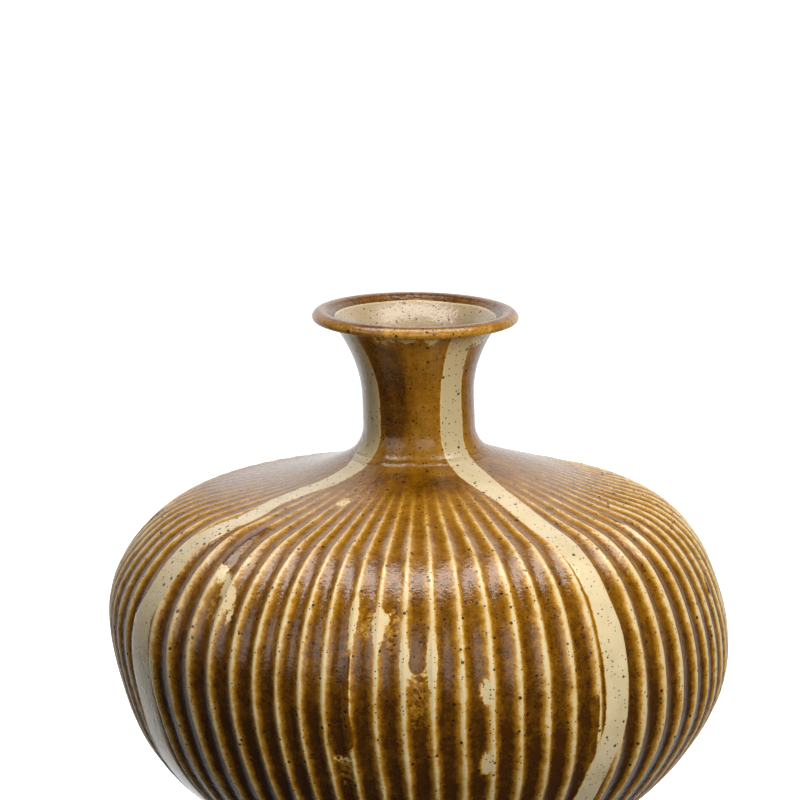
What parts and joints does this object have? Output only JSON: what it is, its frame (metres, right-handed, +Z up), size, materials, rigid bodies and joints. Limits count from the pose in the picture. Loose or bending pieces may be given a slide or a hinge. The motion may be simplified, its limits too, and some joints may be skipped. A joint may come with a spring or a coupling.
{
  "type": "fluted stoneware vase",
  "caption": "Squat round-bellied stoneware vase with carved vertical flutes, a slender neck, a flared rolled lip and a turned foot.",
  "frame": {"origin": "centre of the foot's resting face, on the vase's axis", "axes": "+Z up along the vase's axis, towards the mouth; -Y faces the viewer in the picture, +X to the viewer's right"},
  "size_m": [0.31, 0.31, 0.28],
  "materials": {
    "brown_glaze": "glossy reactive brown glaze, dark in the flutes, amber and cream on the ribs, iron specks",
    "liner_glaze": "satin cream liner glaze with fine specks",
    "bare_stoneware": "unglazed buff stoneware, matt"
  },
  "bodies": {
    "root": {"foot_ring": "bare_stoneware", "floor_disc": "liner_glaze", "lower_belly": "brown_glaze", "belly_seam_coil": "liner_glaze", "upper_belly": "brown_glaze", "neck_collar": "brown_glaze", "neck_seam_coil": "brown_glaze", "lip_coil": "brown_glaze"}
  },
  "joints": []
}
